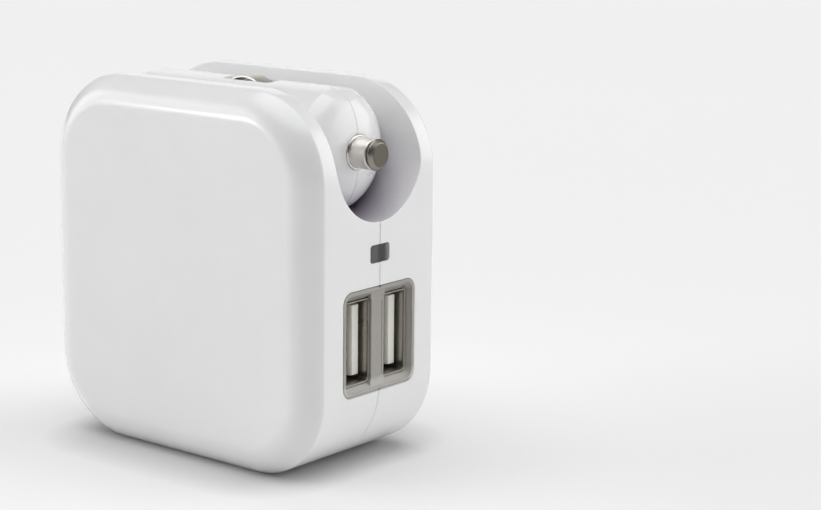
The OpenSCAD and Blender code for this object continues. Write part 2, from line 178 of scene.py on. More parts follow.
def lathe(name, profile, centre, steps=96, start=0, sweep=360, closed=False):
    """Turns (along, radius) points about the line along X through `centre`."""
    whole = sweep == 360
    bm = bmesh.new()
    rows = []
    for i in range(steps if whole else steps + 1):
        a = math.radians(start + sweep * i / steps)
        rows.append([
            bm.verts.new(Vector((t, r * math.sin(a), r * math.cos(a))) + Vector(centre))
            for t, r in profile
        ])
    pairs = list(zip(rows, rows[1:]))
    if whole:
        pairs.append((rows[-1], rows[0]))
    count = len(profile)
    for a, b in pairs:
        for j in range(count if closed else count - 1):
            k = (j + 1) % count
            bm.faces.new((a[j], a[k], b[k], b[j]))
    if not whole:
        bm.faces.new(rows[0])
        bm.faces.new(rows[-1])
    return new_object(name, bm)


def rod(axis, r, t0, t1, at=(0, 0), n=64):
    return prism(circle(r, n), axis, t0, t1, at)


def applied(obj):
    """Bakes an object's modifiers into its mesh."""
    graph = bpy.context.evaluated_depsgraph_get()
    mesh = bpy.data.meshes.new_from_object(obj.evaluated_get(graph))
    obj.modifiers.clear()
    old = obj.data
    obj.data = mesh
    bpy.data.meshes.remove(old)
    mesh.name = obj.name


def combine(obj, operation, *tools):
    """Exact boolean of obj with each tool in turn. The tools are used up."""
    for tool in tools:
        mod = obj.modifiers.new("boolean", "BOOLEAN")
        mod.operation = operation
        mod.solver = "EXACT"
        mod.object = tool
    applied(obj)
    for tool in tools:
        mesh = tool.data
        bpy.data.objects.remove(tool)
        bpy.data.meshes.remove(mesh)
    return obj


def cut(obj, *tools):
    return combine(obj, "DIFFERENCE", *tools)


def add(obj, *tools):
    return combine(obj, "UNION", *tools)


def keep(obj, tool):
    return combine(obj, "INTERSECT", tool)


def copy_of(obj, name):
    twin = bpy.data.objects.new(name, obj.data.copy())
    scene.collection.objects.link(twin)
    return twin


# Millimetres and degrees
WELD = 0.004
SLIVER = 0.002
FLAT_ANGLE = 0.3


def clean(obj):
    """Welds close points, drops slivers and merges flat faces after booleans."""
    bm = bmesh.new()
    bm.from_mesh(obj.data)
    bmesh.ops.remove_doubles(bm, verts=bm.verts, dist=WELD)
    bmesh.ops.dissolve_degenerate(bm, edges=bm.edges, dist=SLIVER)
    bmesh.ops.dissolve_limit(bm, angle_limit=math.radians(FLAT_ANGLE), verts=bm.verts,
                             edges=bm.edges)
    bm.to_mesh(obj.data)
    bm.free()


# Angles in degrees over which an edge is rounded, and shaded as sharp
ROUND_OVER = 35
SHARP_OVER = 38


def piece(obj, name, body, replaced, mat, edge=0.0):
    """Rounds edges by `edge`, keeps the piece inside the CAD box, turns its millimetres into
    metres, parents it to its body's empty and hides the CAD part that it replaces."""
    clean(obj)
    obj.name = name
    if edge:
        bevel = obj.modifiers.new("edges", "BEVEL")
        bevel.width = edge
        bevel.segments = 2
        bevel.limit_method = "ANGLE"
        bevel.angle_limit = math.radians(ROUND_OVER)
        bevel.use_clamp_overlap = False
        bevel.miter_outer = "MITER_ARC"
        applied(obj)
    for vertex in obj.data.vertices:
        for i in range(3):
            vertex.co[i] = min(max(vertex.co[i], cad_low[i] / MM), cad_high[i] / MM)
    for poly in obj.data.polygons:
        poly.use_smooth = True
    obj.data.set_sharp_from_angle(angle=math.radians(SHARP_OVER))
    weighted = obj.modifiers.new("normals", "WEIGHTED_NORMAL")
    weighted.keep_sharp = True
    applied(obj)
    obj.data.transform(Matrix.Scale(MM, 4))
    obj.data.materials.clear()
    obj.data.materials.append(mat)
    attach(obj, body)
    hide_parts(replaced)
    return obj


# ---------------------------------------------------------------- materials
class Graph:
    """Short calls for building a material's nodes."""

    def __init__(self, name):
        self.mat = bpy.data.materials.new(name)
        self.mat.use_nodes = True
        self.tree = self.mat.node_tree
        self.shader = self.tree.nodes["Principled BSDF"]
        self.coords = self.tree.nodes.new("ShaderNodeTexCoord").outputs["Object"]

    def link(self, a, b):
        self.tree.links.new(a, b)

    def noise(self, scale, detail=3.0, rough=0.5, stretch=None):
        node = self.tree.nodes.new("ShaderNodeTexNoise")
        node.inputs["Scale"].default_value = scale
        node.inputs["Detail"].default_value = detail
        node.inputs["Roughness"].default_value = rough
        source = self.coords
        if stretch:
            mapping = self.tree.nodes.new("ShaderNodeMapping")
            mapping.inputs["Scale"].default_value = stretch
            self.link(source, mapping.inputs["Vector"])
            source = mapping.outputs["Vector"]
        self.link(source, node.inputs["Vector"])
        return node.outputs["Fac"]

    def span(self, source, low, high, out_low, out_high):
        node = self.tree.nodes.new("ShaderNodeMapRange")
        for key, value in zip(("From Min", "From Max", "To Min", "To Max"),
                              (low, high, out_low, out_high)):
            node.inputs[key].default_value = value
        self.link(source, node.inputs["Value"])
        return node.outputs["Result"]

    def maths(self, operation, a, b):
        node = self.tree.nodes.new("ShaderNodeMath")
        node.operation = operation
        for socket, value in zip(node.inputs, (a, b)):
            if isinstance(value, (int, float)):
                socket.default_value = value
            else:
                self.link(value, socket)
        return node.outputs["Value"]

    def mix(self, factor, a, b):
        node = self.tree.nodes.new("ShaderNodeMix")
        node.data_type = "RGBA"
        self.link(factor, node.inputs["Factor"])
        for key, value in (("A", a), ("B", b)):
            socket = [s for s in node.inputs if s.name == key and s.type == "RGBA"][0]
            if isinstance(value, tuple):
                socket.default_value = (*value, 1)
            else:
                self.link(value, socket)
        return [s for s in node.outputs if s.type == "RGBA"][0]

    def edge(self, radius):
        """1 on edges, 0 away from them, by how far the rounded normal leans from the true one."""
        bevel = self.tree.nodes.new("ShaderNodeBevel")
        bevel.samples = 4
        bevel.inputs["Radius"].default_value = radius
        normal = self.tree.nodes.new("ShaderNodeNewGeometry").outputs["Normal"]
        dot = self.tree.nodes.new("ShaderNodeVectorMath")
        dot.operation = "DOT_PRODUCT"
        self.link(bevel.outputs["Normal"], dot.inputs[0])
        self.link(normal, dot.inputs[1])
        return self.span(dot.outputs["Value"], 0.975, 0.85, 0.0, 1.0)

    def axis(self, name):
        """One coordinate in the piece's own frame, in metres."""
        split = self.tree.nodes.new("ShaderNodeSeparateXYZ")
        self.link(self.coords, split.inputs["Vector"])
        return split.outputs[name]

    def cavity(self, distance):
        """0 in the open, towards 1 in deep hollows."""
        node = self.tree.nodes.new("ShaderNodeAmbientOcclusion")
        node.samples = 4
        node.inputs["Distance"].default_value = distance
        return self.span(node.outputs["AO"], 0.85, 0.25, 0.0, 1.0)

    def bump(self, height, strength, distance, before=None):
        node = self.tree.nodes.new("ShaderNodeBump")
        node.inputs["Strength"].default_value = strength
        node.inputs["Distance"].default_value = distance
        self.link(height, node.inputs["Height"])
        if before is not None:
            self.link(before, node.inputs["Normal"])
        return node.outputs["Normal"]

    def set(self, **values):
        for key, value in values.items():
            self.shader.inputs[key.replace("_", " ")].default_value = value


# In metres: the heights between which the painted shade of hollows comes in below the rim, those
# between which it goes out again below the channel, and how far round a point it looks for a hollow
PAINTED_SHADE_TOP = (0.0525, 0.0400)
PAINTED_SHADE_FOOT = (0.0280, 0.0360)
PAINTED_SHADE_REACH = 0.014


def surface(name, colour, rough, shade=0.03, cloud=60.0, grain=2500.0, grain_depth=4e-6,
            wave=90.0, wave_depth=1.5e-5, wear=0.25, worn=None, worn_rough=0.1,
            edge=0.00025, stretch=None, hollow=None, painted_light_zones=(), **sockets):
    """A finish with cloudy colour, varied gloss, grain, slow waviness and rubbed edges.
    `hollow` is a painted shade: the colour that it turns to in deep hollows high on the body.
    `painted_light_zones` lists painted light and shade: an axis, where along it in metres the
    finish starts and ends turning to another colour, and that colour."""
    g = Graph(name)
    clouds = g.noise(cloud, 4.0, 0.6, stretch)
    specks = g.noise(grain, 2.0, 0.5, stretch)
    dark = tuple(c * (1 - shade) for c in colour)
    light = tuple(min(1.0, c * (1 + shade)) for c in colour)
    tint = g.mix(g.span(clouds, 0.3, 0.7, 0, 1), dark, light)
    # Painted shade: the colour turns towards `hollow` where ambient occlusion finds a hollow,
    # between the heights given
    if hollow:
        depth = g.span(g.axis("Z"), *PAINTED_SHADE_TOP, 0.0, 1.0)
        depth = g.maths("MULTIPLY", depth, g.span(g.axis("Z"), *PAINTED_SHADE_FOOT, 0.0, 1.0))
        tint = g.mix(g.maths("MULTIPLY", g.cavity(PAINTED_SHADE_REACH), depth), tint, hollow)
    worn = worn or tuple(min(1.0, c * 1.06 + 0.01) for c in colour)
    patches = g.span(g.noise(cloud * 6, 3.0), 0.4, 0.6, 0.3, 1.0)
    rubbed = g.maths("MULTIPLY", g.edge(edge), patches)
    rubbed = g.maths("MULTIPLY", rubbed, wear)
    tint = g.mix(rubbed, tint, worn)
    # Painted light and shade: zones along one axis of the piece turn to another colour
    for along, start, end, past in painted_light_zones:
        tint = g.mix(g.span(g.axis(along), start, end, 0.0, 1.0), tint, past)
    g.link(tint, g.shader.inputs["Base Color"])
    gloss = g.span(clouds, 0.25, 0.75, rough * 0.85, rough * 1.2)
    gloss = g.maths("ADD", gloss, g.maths("MULTIPLY", rubbed, worn_rough))
    g.link(gloss, g.shader.inputs["Roughness"])
    slow = g.bump(g.noise(wave, 1.0), 1.0, wave_depth)
    g.link(g.bump(specks, 1.0, grain_depth, slow), g.shader.inputs["Normal"])
    g.set(**sockets)
    return g.mat


# The shells' white, the painted shade that it turns to inside the channel, and what shells and plug
# share
WHITE = (0.90, 0.901, 0.906)
SHADE = (0.34, 0.30, 0.37)
GLOW = dict(wear=0.12, worn=(0.91, 0.91, 0.914), Subsurface_Weight=0.15,
            Subsurface_Radius=(1.0, 0.9, 0.85), Subsurface_Scale=0.0015)
# The bezel's lower slope is painted pale cream, a painted highlight where it faces up into the
# light, and its rim below keeps the smoke colour
SMOKE = (0.66, 0.63, 0.58)
BEZEL_PAINTED_LIGHT = (("Z", 0.0153, 0.0145, (0.92, 0.90, 0.84)), ("Z", 0.0136, 0.0134, SMOKE))
# The window has a painted dark reflection across its middle, over the light, and a painted pale
# reflection towards its rear end
WINDOW_PAINTED_REFLECTION = (("Y", -0.0009, -0.0003, (0.05, 0.05, 0.052)),
                ("Y", 0.0010, 0.0019, (0.50, 0.50, 0.49)))
# The pin has a painted dark reflection from its groove on, and a darker painted reflection on its
# end disc
PIN_TIP = box("centre_pin")[1].x * MM
PIN_GROOVE = PIN_TIP - 0.00122
PIN_DISC = PIN_TIP - 0.00006
PIN_PAINTED_REFLECTION = (("X", PIN_GROOVE, PIN_GROOVE + 1e-5, (0.30, 0.285, 0.25)),
             ("X", PIN_DISC, PIN_DISC + 1e-5, (0.13, 0.12, 0.10)))

# Both whites carry a painted shade in their hollows; the plug's is paler
white_shell = surface("shell_white", WHITE, 0.22, shade=0.012, grain_depth=6e-7,
                      wave_depth=2e-6, hollow=SHADE, Coat_Weight=0.4, Coat_Roughness=0.05,
                      **GLOW)
white_plug = surface("plug_white", (0.90, 0.90, 0.905), 0.25, shade=0.015, grain_depth=8e-7,
                     wave_depth=2e-6, hollow=(0.80, 0.785, 0.82), Coat_Weight=0.3,
                     Coat_Roughness=0.1, **GLOW)
white_carrier = surface("carrier_white", (0.82, 0.82, 0.815), 0.38, shade=0.02,
                        grain_depth=2e-6, wave_depth=2e-6)
# The bezel's smoke, with a painted highlight on its lower slope
smoked = surface("smoked_clear", SMOKE, 0.12, shade=0.05, grain_depth=6e-7, wave_depth=2e-6,
                 wear=0.15, painted_light_zones=BEZEL_PAINTED_LIGHT, Transmission_Weight=0.45, IOR=1.5)
# The window's smoke, with painted reflections along its width
window = surface("smoked_window", (0.20, 0.20, 0.205), 0.10, shade=0.05, grain_depth=6e-7,
                 wave_depth=2e-6, wear=0.15, painted_light_zones=WINDOW_PAINTED_REFLECTION, Transmission_Weight=0.6,
                 IOR=1.5)
led_resin = surface("led_resin", (0.8, 0.82, 0.85), 0.12, shade=0.02, grain_depth=5e-7,
                    wave_depth=2e-6, wear=0.1, Transmission_Weight=0.6, IOR=1.53)
steel = surface("port_steel", (0.40, 0.38, 0.34), 0.3, shade=0.07, cloud=300.0,
                grain_depth=2e-6, wave_depth=6e-6, stretch=(0.15, 1, 1), Metallic=1.0)
cream = surface("tongue_cream", (0.95, 0.94, 0.87), 0.42, shade=0.03, cloud=250.0,
                grain_depth=4e-6, wave_depth=4e-6)
gold = surface("contact_gold", (0.86, 0.62, 0.28), 0.2, shade=0.06, cloud=500.0,
               grain_depth=1e-6, wave_depth=2e-6, Metallic=1.0)
nickel = surface("nickel", (0.70, 0.68, 0.65), 0.16, shade=0.06, cloud=250.0,
                 grain_depth=1.2e-6, wave_depth=5e-6, wear=0.5, worn=(0.85, 0.83, 0.8),
                 worn_rough=0.05, Metallic=1.0)
# Nickel, with painted dark reflections on the cap and end disc
pin_nickel = surface("pin_nickel", (0.82, 0.79, 0.75), 0.38, shade=0.06, cloud=250.0,
                     grain_depth=1.2e-6, wave_depth=5e-6, wear=0.5, worn=(0.85, 0.83, 0.8),
                     worn_rough=0.05, painted_light_zones=PIN_PAINTED_REFLECTION, Metallic=1.0)
spring_steel = surface("spring_steel", (0.52, 0.52, 0.53), 0.3, Metallic=1.0)
contact_nickel = surface("contact_nickel", (0.90, 0.87, 0.80), 0.4, shade=0.05, cloud=250.0,
                         grain_depth=1.2e-6, wave_depth=4e-6, wear=0.5, Metallic=1.0)
blade_metal = surface("blade_metal", (0.68, 0.66, 0.62), 0.2, shade=0.06, cloud=200.0,
                      grain_depth=1.5e-6, wave_depth=5e-6, wear=0.6, worn=(0.80, 0.70, 0.48),
                      stretch=(1, 1, 0.2), Metallic=1.0)


# ---------------------------------------------------------------- body shells
def bevel_section():
    """(inset, depth) points from a crease at the band to the flat face: a slow arc, then a
    tight one."""
    # Steps, length and turn in degrees of each arc, and the lean at the crease
    arcs = ((8, 3.6, 25.0), (10, 4.6 * math.radians(40), 40.0))
    theta = 25.0
    path = [(0.0, 0.0)]
    for n, length, turn in arcs:
        for i in range(n):
            a = math.radians(theta + turn * (i + 0.5) / n)
            inset, depth = path[-1]
            path.append((inset + math.sin(a) * length / n, depth + math.cos(a) * length / n))
        theta += turn
    k_in = BEVEL_IN / path[-1][0]
    k_out = (HALF_T - BAND) / path[-1][1]
    return [(inset * k_in, depth * k_out) for inset, depth in path]


def body_ring(inset, y):
    """The body's outline, moved in by `inset`, at one depth."""
    pts = outline(2 * (HALF_W - inset), HEIGHT - 2 * inset, CORNER_R - inset, CORNER_STEPS)
    return [(u, y, v + MID_Z) for u, v in pts]


def body_solid(name, inset=0.0):
    """The whole body, moved in by `inset` all round."""
    section = [(i, BAND + d) for i, d in bevel_section()]
    rings = [body_ring(i + inset, -(y - inset)) for i, y in reversed(section)]
    rings += [body_ring(i + inset, y - inset) for i, y in section]
    return loft(name, rings)


def channel_tool(r):
    """A U round the plug's axis, open at the top and longer than the body."""
    top = HEIGHT + 2 - PLUG_Z
    pts = arc(0, 0, r, 180, 360, 64) + [(r, top), (-r, top)]
    return prism(pts, "x", -HALF_W - 2, HALF_W + 2, (0, PLUG_Z))


# How much wider the openings are than the bezel and the window in them, the radii of their
# corners, and the clearance round the plug's trunnions
OPENING_GAP = 0.1
BEZEL_OPENING_R = 1.85
LED_OPENING_R = 0.45
TRUNNION_GAP = 0.05
# The relief in the channel's floor for the lower ground contact
RELIEF_END_X = 9.6
RELIEF_HALF_W = 1.9
RELIEF_DEEP = 0.8
contact_low, _, _ = box("ground_contact_lower")


def casing():
    """Both shells in one: a wall round a hollow, the plug's channel with its liner, and the
    bosses, bores and openings."""
    solid = body_solid("casing")
    liner = body_solid("liner", 0.4)
    keep(liner, channel_tool(LINER_R))
    cut(solid, body_solid("cavity", WALL))
    add(solid, liner)
    for side in (-1, 1):
        ends = sorted((side * (CHANNEL_R + 0.2), side * BOSS_END))
        add(solid, rod("y", BOSS_R, *ends, (hinge.x, PLUG_Z)))
    tools = [channel_tool(CHANNEL_R)]
    for side in (-1, 1):
        inside = side * (CHANNEL_R - 2)
        bore = sorted((inside, side * (BOSS_END + 0.3)))
        spot = sorted((inside, side * CHANNEL_R))
        tools.append(rod("y", TRUNNION_R + TRUNNION_GAP, *bore, (hinge.x, PLUG_Z)))
        tools.append(rod("y", SPOT_FACE_R, *spot, (hinge.x, PLUG_Z)))
    tools.append(cuboid(contact_low.x + 2.4, RELIEF_END_X, -RELIEF_HALF_W, RELIEF_HALF_W,
                        PLUG_Z - CHANNEL_R - RELIEF_DEEP, PLUG_Z - 5))
    for node, radius in (("usb_bezel", BEZEL_OPENING_R), ("led_window", LED_OPENING_R)):
        low, high, mid = box(node)
        hole = outline(high.y - low.y + OPENING_GAP, high.z - low.z + OPENING_GAP, radius)
        tools.append(prism(hole, "x", HALF_W - 4, HALF_W + 1, (0, mid.z)))
    return cut(solid, *tools)


def half_space(side):
    """Everything on one side of the seam."""
    y0, y1 = sorted((0.0, 40.0 * side))
    return cuboid(-60, 60, y0, y1, -20, 90)


POST_R = 1.6
POST_END_Y = -8.95
POST_X = (-20, 18)
POST_Z = (10, 31)


def posts():
    """Four posts on the front shell that carry the board."""
    return [rod("y", POST_R, -HALF_T + WALL - 0.4, POST_END_Y, (x, z), 32)
            for x in POST_X for z in POST_Z]


blade_axis = pivot("blades_fold")
# The bay, and the drum in it that holds the blades and turns on two journals
BAY_R = 3.65
DRUM_R = 3.35
CARRIER_L = 22.0
JOURNAL_R = 2.0
# The blades' upper ends, just over the axis so that their corners stay inside the drum
BLADE_TOP = blade_axis.z + 0.6
# The finger scoop: its radius and width, and how far its axis lies outside the rear face and
# below the blades' axis
SCOOP_R = 6.0
SCOOP_W = 9.3
SCOOP_OUT = 3.6
SCOOP_DOWN = 14
# Walls that the rear shell has round the blades' bay and round the drum's bearings
BAY_WALL = 1.2
BEARING_WALL = 1.4
left_low, left_high, left_mid = box("blade_left")
right_low, right_high, right_mid = box("blade_right")
SLOT_T = left_high.x - left_low.x + 0.9
SLOT_FLOOR = HALF_T - 6.95
SLOT_END = left_low.z - 0.6


# The next four tools cut the rear shell. Grown, they make the walls that stay round the cuts.
def slot_tools(grow):
    """The two slots that the folded blades lie in."""
    half = SLOT_T / 2 + grow
    return [cuboid(mid.x - half, mid.x + half, SLOT_FLOOR - grow, HALF_T + 1, SLOT_END - grow,
                   blade_axis.z) for mid in (left_mid, right_mid)]


def bay_tool(grow):
    """The bay that the drum turns in, open to the rear."""
    r = BAY_R + grow
    half = CARRIER_L / 2 + 0.3 + grow
    top = HALF_T + 1 - blade_axis.y
    pts = arc(0, 0, r, 90, 270, 40)
    pts = [(-abs(u), v) for u, v in pts] + [(top, -r), (top, r)]
    return prism(pts, "x", -half, half, (blade_axis.y, blade_axis.z))


def scoop_tool(grow):
    """The hollow for a finger between the blades' tips."""
    half = SCOOP_W / 2 + grow
    axis_y, axis_z = HALF_T + SCOOP_OUT, blade_axis.z - SCOOP_DOWN
    return rod("x", SCOOP_R + grow, -half, half, (axis_y, axis_z), 96)


def journal_tool(grow):
    """The bearings of the drum's two ends."""
    half = CARRIER_L / 2 + 2 + grow * 0.3
    return rod("x", JOURNAL_R + 0.05 + grow, -half, half, (blade_axis.y, blade_axis.z))


shell = casing()
front = keep(copy_of(shell, "front"), half_space(-1))
add(front, *posts())
rear = keep(shell, half_space(1))
pocket = add(bay_tool(BAY_WALL), *slot_tools(BAY_WALL), scoop_tool(BAY_WALL),
             journal_tool(BEARING_WALL))
keep(pocket, body_solid("trim"))
add(rear, pocket)
cut(rear, bay_tool(0), *slot_tools(0), scoop_tool(0), journal_tool(0))

piece(front, "shell_front", "body", "front_shell", white_shell, edge=0.18)
piece(rear, "shell_rear", "body", "rear_shell", white_shell, edge=0.18)


# ---------------------------------------------------------------- ports and window
# The bezel: corner radius, width of its flat rim, how far outside the ports the steep end of its
# slope starts and ends, and the gap between each port and its opening
BEZEL_R = 1.8
BEZEL_RIM = 0.6
SLOPE_START = 0.33
SLOPE_END = 0.3
PORT_GAP = 0.08
# The bar between the ports: how far it reaches over each, how deep it lies behind the bezel's
# face, and how deep its own recess is
BAR_OVERLAP = 0.1
BAR_DEEP = 0.42
BAR_RECESS = 0.1
LED_R = 1.1
# The ports: shell wall, the springs pressed out of it, the tongue and its contacts
PORT_WALL = 0.3
SPRING_OFFSETS = (-2.9, 2.9)
TONGUE_T = 1.84
TONGUE_W = 11.1
CONTACT_OFFSETS = (-3.5, -1.0, 1.0, 3.5)
CONTACT_W = 1.0
GROOVE_W = 1.24


def bezel():
    """A clear frame: flat outer band, a step, then slopes down to the two openings and a bar."""
    low, high, mid = box("usb_bezel")
    w, h = high.y - low.y, high.z - low.z
    at = (0, mid.z)
    face = high.x
    body = prism(outline(w, h, BEZEL_R, 12), "x", low.x, face, at)
    f_low, f_high, f_mid = box("usb_shell_front")
    r_low, r_high, r_mid = box("usb_shell_rear")
    tall = r_high.z - r_low.z
    wide = r_high.y - f_low.y

    def ring(x, ring_w, ring_h, r):
        return [(x, u, v + mid.z) for u, v in outline(ring_w, ring_h, r, 10)]

    inside_w, inside_h = w - 2 * BEZEL_RIM, h - 2 * BEZEL_RIM
    funnel = loft("funnel", [
        ring(face + 0.5, inside_w, inside_h, 1.2), ring(face - 0.2, inside_w, inside_h, 1.2),
        ring(face - 0.95, wide + 2 * SLOPE_START, tall + 2 * SLOPE_START, 0.7),
        ring(face - 1.2, wide + 2 * SLOPE_END, tall + 2 * SLOPE_END, 0.68),
    ])
    bar_w = r_low.y - f_high.y + 2 * BAR_OVERLAP
    bar = prism([(-bar_w / 2, -tall), (bar_w / 2, -tall), (bar_w / 2, tall), (-bar_w / 2, tall)],
                "x", face - 3, face - BAR_DEEP, at)
    cut(funnel, bar)
    cut(body, funnel)
    for port_mid in (f_mid, r_mid):
        opening = outline(f_high.y - f_low.y + 2 * PORT_GAP, tall + 2 * PORT_GAP, 0.45)
        cut(body, prism(opening, "x", low.x - 1, face + 1, (port_mid.y, mid.z)))
    recess = outline(bar_w - 2 * BEZEL_RIM, tall - 2 * BEZEL_RIM, 0.3)
    cut(body, prism(recess, "x", face - BAR_DEEP - BAR_RECESS, face, at))
    # A small notch at the top and one at the bottom, where the shells' seam meets the bezel
    for side in (-1, 1):
        seam_z = mid.z + side * (h / 2 - 0.05)
        cut(body, rod("x", 0.2, face - 0.6, face + 1, (0, seam_z), 16))
    piece(body, "bezel", "body", "usb_bezel", smoked, edge=0.04)


def status_window():
    """A flat pane with rounded corners, over the light."""
    low, high, mid = box("led_window")
    pane = prism(outline(high.y - low.y, high.z - low.z, 0.4), "x", low.x, high.x, (0, mid.z))
    piece(pane, "status_window", "body", "led_window", window, edge=0.14)


def status_light():
    """A round lens with a collar at its foot, behind the window."""
    _, _, window_mid = box("led_window")
    _, high, _ = box("status_led")
    dome = [(t + high.x - LED_R, r) for t, r in arc(0, 0, LED_R, 0, 90, 10)]
    foot, collar_end = high.x - 4.1, high.x - 3.5
    profile = [(foot, 0), (foot, LED_R + 0.2), (collar_end, LED_R + 0.2), (collar_end, LED_R)]
    lens = lathe("led", profile + dome[::-1], (0, 0, window_mid.z), steps=48)
    piece(lens, "status_light", "body", "status_led", led_resin, edge=0.05)


def port_shell(which):
    """The folded metal shell, with two springs pressed inwards out of each wide wall."""
    low, high, mid = box("usb_shell_" + which)
    w, h = high.y - low.y, high.z - low.z

    def ring(x, inset, r):
        return [(x, u + mid.y, v + mid.z) for u, v in outline(w - 2 * inset, h - 2 * inset, r, 4)]

    tube = loft("tube", [
        ring(low.x, 0, 0.5), ring(high.x, 0, 0.5), ring(high.x, PORT_WALL * 0.4, 0.42),
        ring(high.x - 0.35, PORT_WALL, 0.25), ring(low.x, PORT_WALL, 0.25),
    ], capped=False)
    x0, x1 = high.x - 7.0, high.x - 2.0
    windows = []
    springs = []
    for wall in (-1, 1):
        reach = 0.5 if wall < 0 else 0.25
        outer = mid.y + wall * w / 2
        y0, y1 = sorted((outer - wall * 0.6, outer + wall * 0.6))
        skin = [(x1 + 0.2, 0.0), (x1 - 0.6, 0.0), (x0 + 1.6, -reach), (x0 + 0.6, -reach * 0.4),
                (x0 + 0.6, 0.2 - reach * 0.4), (x0 + 1.6, 0.2 - reach), (x1 - 0.6, 0.2),
                (x1 + 0.2, 0.2)]
        pts = [(x, outer + wall * (d - 0.25)) for x, d in skin]
        for offset in SPRING_OFFSETS:
            z = mid.z + offset
            windows.append(cuboid(x0, x1, y0, y1, z - 1.1, z + 1.1))
            springs.append(prism(pts, "z", z - 0.85, z + 0.85))
    cut(tube, *windows)
    add(tube, *springs)
    piece(tube, "port_shell_" + which, "body", "usb_shell_" + which, steel)


def port_tongue(which):
    """The tongue, chamfered at its tip and grooved for the contacts, on its base."""
    _, _, mid = box("usb_shell_" + which)
    low, high, _ = box("usb_tongue_" + which)
    _, contacts_high, _ = box("usb_contacts_" + which)
    tip = high.x
    y0 = contacts_high.y
    z0, z1 = mid.z - TONGUE_W / 2, mid.z + TONGUE_W / 2
    tongue = cuboid(low.x + 1.0, tip, y0, y0 + TONGUE_T, z0, z1)
    chamfer = prism([(tip - 0.7, y0 - 0.1), (tip + 0.1, y0 - 0.1), (tip + 0.1, y0 + 0.45)], "z",
                    z0 - 1, z1 + 1)
    cut(tongue, chamfer)
    for offset in CONTACT_OFFSETS:
        z = mid.z + offset
        cut(tongue, cuboid(tip - 9.2, tip - 0.75, y0 - 1, y0 + 0.12, z - GROOVE_W / 2,
                           z + GROOVE_W / 2))
    add(tongue, cuboid(low.x, low.x + 1.2, low.y, high.y, low.z, high.z))
    piece(tongue, "port_tongue_" + which, "body", "usb_tongue_" + which,
          cream, edge=0.1)


def port_contacts(which):
    """Four strips, each bowed a little away from the tongue near its tip."""
    _, _, mid = box("usb_shell_" + which)
    low, high, _ = box("usb_contacts_" + which)
    y = low.y
    pts = [(low.x, y + 0.32), (low.x, y + 0.1), (high.x - 2.4, y + 0.1), (high.x - 1.4, y),
           (high.x - 0.5, y + 0.08), (high.x, y + 0.3), (high.x - 0.25, y + 0.32)]
    strips = [prism(pts, "z", mid.z + offset - CONTACT_W / 2, mid.z + offset + CONTACT_W / 2)
              for offset in CONTACT_OFFSETS]
    add(strips[0], *strips[1:])
    piece(strips[0], "port_contacts_" + which, "body", "usb_contacts_" + which,
          gold, edge=0.03)


bezel()
status_window()
status_light()
for which in ("front", "rear"):
    port_shell(which)
    port_tongue(which)
    port_contacts(which)


# ---------------------------------------------------------------- car plug
_, plug_high, _ = box("plug_front_half")
NOSE_X = plug_high.x
# Where the cone starts, the radius of the hollow, the collar's radius, and the radius of the hole
# that the lead passes through the trunnion by
CONE_X = NOSE_X - 4.2
INNER_R = 7.8
COLLAR_R = 2.75
LEAD_HOLE_R = 1.0
# The side contacts' slots, and where along the plug their middle is
CONTACT_SLOT_L = 10.2
CONTACT_SLOT_W = 3.8
CONTACT_SLOT_X = 2.5
# The pin and its bore
PIN_BORE_R = 2.46
PIN_R = 2.4
PIN_FLANGE_R = 3.8
PIN_FLANGE_T = 1.5
GROOVE_R = 2.0
collar_low, collar_high, _ = box("nose_collar")
pin_low, pin_high, _ = box("centre_pin")


def soften(pts, r, n=5):
    """Rounds the inner corners of an open line of points with arcs of about radius r."""
    out = [pts[0]]
    for a, b, c in zip(pts, pts[1:], pts[2:]):
        a, b, c = Vector(a), Vector(b), Vector(c)
        d1, d2 = (a - b), (c - b)
        reach = min(r, d1.length * 0.45, d2.length * 0.45)
        p, q = b + d1.normalized() * reach, b + d2.normalized() * reach
        for i in range(n + 1):
            t = i / n
            out.append(tuple((1 - t) ** 2 * p + 2 * t * (1 - t) * b + t * t * q))
    out.append(pts[-1])
    return out


def plug_profile():
    """Half of the hollow plug's section: round hub, barrel, cone, and bores for ring and pin."""
    dome = arc(hinge.x, 0, BARREL_R, 180, 90, 28)
    nose = soften([(hinge.x, BARREL_R), (CONE_X, BARREL_R), (CONE_X + 0.25, BARREL_R - 0.12)], 0.08)
    nose += soften([(CONE_X + 0.25, BARREL_R - 0.12), (CONE_X + 1.75, BARREL_R - 1.05),
                    (CONE_X + 3.0, BARREL_R - 2.75), (CONE_X + 3.8, 4.8), (NOSE_X - 0.05, 3.3),
                    (NOSE_X, COLLAR_R)], 1.2)[1:]
    inner = [(NOSE_X - 2.4, COLLAR_R), (NOSE_X - 2.4, PIN_BORE_R), (NOSE_X - 4.4, PIN_BORE_R),
             (NOSE_X - 4.4, 6.0), (NOSE_X - 7.4, 6.0), (NOSE_X - 7.4, INNER_R)]
    hollow = arc(hinge.x, 0, INNER_R, 90, 180, 20)
    return dome + nose[1:] + inner + hollow


